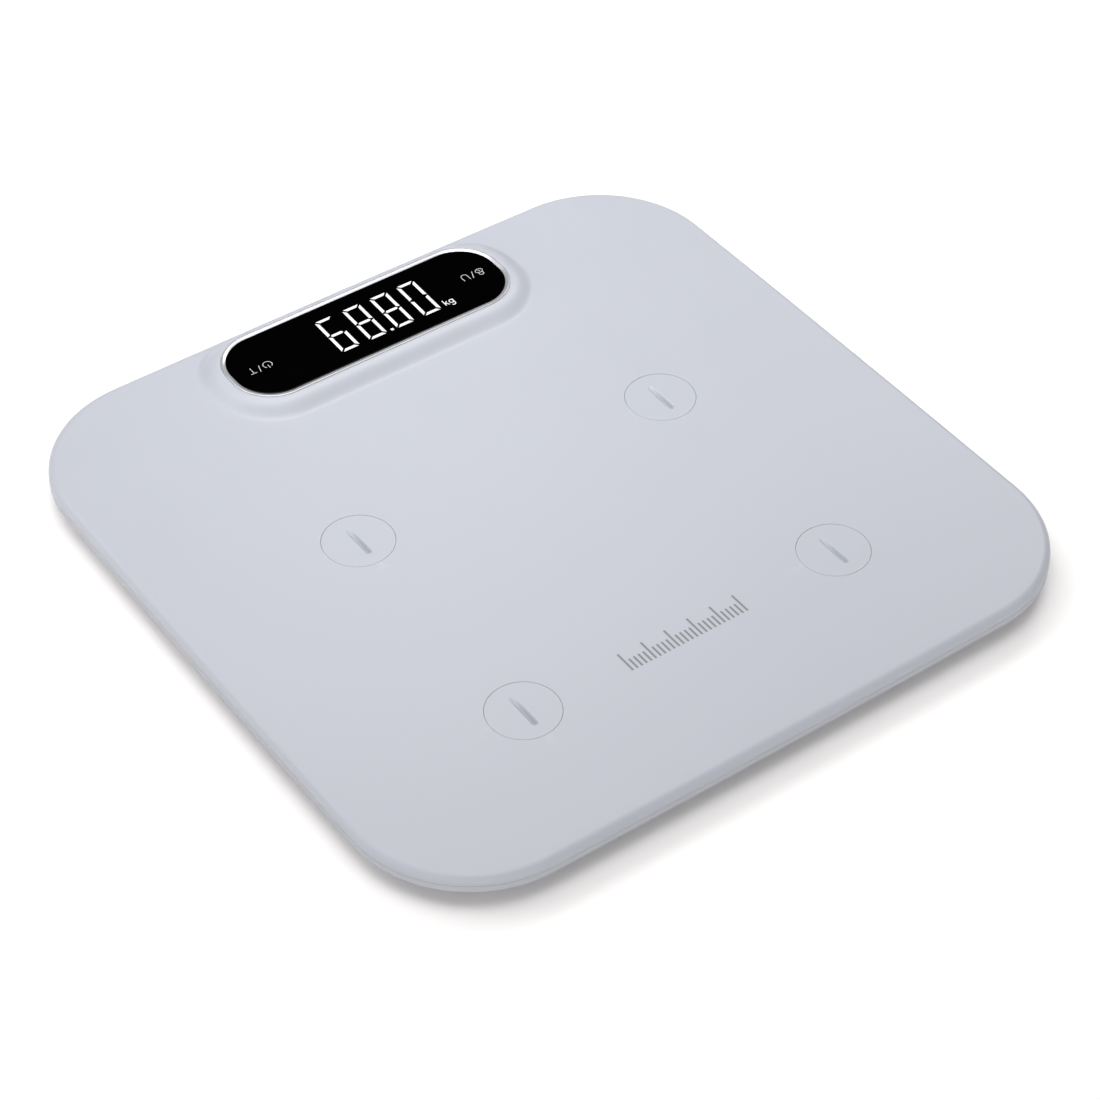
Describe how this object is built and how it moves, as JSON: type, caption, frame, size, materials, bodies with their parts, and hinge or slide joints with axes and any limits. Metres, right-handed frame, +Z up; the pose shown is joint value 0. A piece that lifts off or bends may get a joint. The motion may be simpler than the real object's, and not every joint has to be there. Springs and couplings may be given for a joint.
{
  "type": "digital bathroom scale",
  "caption": "Flat rounded-square bathroom scale with a raised pill-shaped black display at the far edge and flush coin-turned caps over tray sockets.",
  "frame": {"origin": "on the floor, under the middle of the platform", "axes": "+Z up; +Y from the user towards the display; +X to the user's right"},
  "size_m": [0.3, 0.298, 0.0195],
  "materials": {
    "shell": "satin moulded plastic",
    "base_shell": "fine spark-eroded texture",
    "bezel": "bright plated ring",
    "lens": "polished black window",
    "gasket": "foam tape",
    "reflector": "white moulded",
    "diffuser": "milky",
    "touch_foam": "conductive foam",
    "board": "solder mask",
    "chip": "moulded epoxy",
    "socket_plastic": "moulded",
    "silicone": "soft sealant",
    "contact_metal": "nickel plated",
    "cell_can": "stainless can",
    "wire_red": "PVC",
    "wire_black": "PVC",
    "screw_steel": "zinc plated",
    "label": "blank sticker",
    "cap": "satin moulded plastic",
    "foot_plastic": "moulded",
    "foot_rubber": "ribbed rubber",
    "cell_steel": "nickel-plated spring steel",
    "frame_plastic": "moulded",
    "loom": "wrapped three-core loom"
  },
  "bodies": {
    "scale_body": {"platform": "shell", "base": "base_shell", "display_bezel": "bezel", "display_lens": "lens", "lens_gasket": "gasket", "led_reflector": "reflector", "segment_diffusers": "diffuser", "touch_pad_left": "touch_foam", "touch_pad_right": "touch_foam", "main_board": "board", "board_chips": "chip", "board_sockets": "socket_plastic", "gauge_seals": "silicone", "battery_contact_left": "contact_metal", "battery_contact_right": "contact_metal", "coin_cell_left": "cell_can", "coin_cell_right": "cell_can", "battery_wire_positive": "wire_red", "battery_wire_negative": "wire_black", "case_screws": "screw_steel", "board_screws": "screw_steel", "frame_screws": "screw_steel", "rating_label": "label", "load_cell_front_left": "cell_steel", "load_cell_frame_front_left": "frame_plastic", "cell_loom_front_left": "loom", "load_cell_front_right": "cell_steel", "load_cell_frame_front_right": "frame_plastic", "cell_loom_front_right": "loom", "load_cell_rear_left": "cell_steel", "load_cell_frame_rear_left": "frame_plastic", "cell_loom_rear_left": "loom", "load_cell_rear_right": "cell_steel", "load_cell_frame_rear_right": "frame_plastic", "cell_loom_rear_right": "loom"},
    "cap_front_left": {"coin_cap_front_left": "cap"},
    "cap_front_right": {"coin_cap_front_right": "cap"},
    "cap_rear_left": {"coin_cap_rear_left": "cap"},
    "cap_rear_right": {"coin_cap_rear_right": "cap"},
    "foot_front_left": {"foot_front_left": "foot_plastic", "foot_pad_front_left": "foot_rubber"},
    "foot_front_right": {"foot_front_right": "foot_plastic", "foot_pad_front_right": "foot_rubber"},
    "foot_rear_left": {"foot_rear_left": "foot_plastic", "foot_pad_rear_left": "foot_rubber"},
    "foot_rear_right": {"foot_rear_right": "foot_plastic", "foot_pad_rear_right": "foot_rubber"},
    "battery_door": {"battery_door": "base_shell", "battery_link": "contact_metal"}
  },
  "joints": [
    {"name": "cap_turn_front_left", "type": "hinge", "parent": "scale_body", "child": "cap_front_left", "pos_m": [-0.07, -0.087, 0.014], "axis": [0, 0, 1], "range_deg": [0, 90]},
    {"name": "cap_turn_front_right", "type": "hinge", "parent": "scale_body", "child": "cap_front_right", "pos_m": [0.07, -0.087, 0.014], "axis": [0, 0, 1], "range_deg": [0, 90]},
    {"name": "cap_turn_rear_left", "type": "hinge", "parent": "scale_body", "child": "cap_rear_left", "pos_m": [-0.07, 0.019, 0.014], "axis": [0, 0, 1], "range_deg": [0, 90]},
    {"name": "cap_turn_rear_right", "type": "hinge", "parent": "scale_body", "child": "cap_rear_right", "pos_m": [0.07, 0.019, 0.014], "axis": [0, 0, 1], "range_deg": [0, 90]},
    {"name": "foot_travel_front_left", "type": "slide", "parent": "scale_body", "child": "foot_front_left", "axis": [0, 0, 1], "range_m": [0, 0.0006], "stiffness_N_per_m": 4000, "springref_m": -0.002, "deforming": ["load_cell_front_left"]},
    {"name": "foot_travel_front_right", "type": "slide", "parent": "scale_body", "child": "foot_front_right", "axis": [0, 0, 1], "range_m": [0, 0.0006], "stiffness_N_per_m": 4000, "springref_m": -0.002, "deforming": ["load_cell_front_right"]},
    {"name": "foot_travel_rear_left", "type": "slide", "parent": "scale_body", "child": "foot_rear_left", "axis": [0, 0, 1], "range_m": [0, 0.0006], "stiffness_N_per_m": 4000, "springref_m": -0.002, "deforming": ["load_cell_rear_left"]},
    {"name": "foot_travel_rear_right", "type": "slide", "parent": "scale_body", "child": "foot_rear_right", "axis": [0, 0, 1], "range_m": [0, 0.0006], "stiffness_N_per_m": 4000, "springref_m": -0.002, "deforming": ["load_cell_rear_right"]},
    {"name": "battery_door_hinge", "type": "hinge", "parent": "scale_body", "child": "battery_door", "pos_m": [0, -0.0237, 0.0044], "axis": [1, 0, 0], "range_deg": [0, 100]}
  ]
}
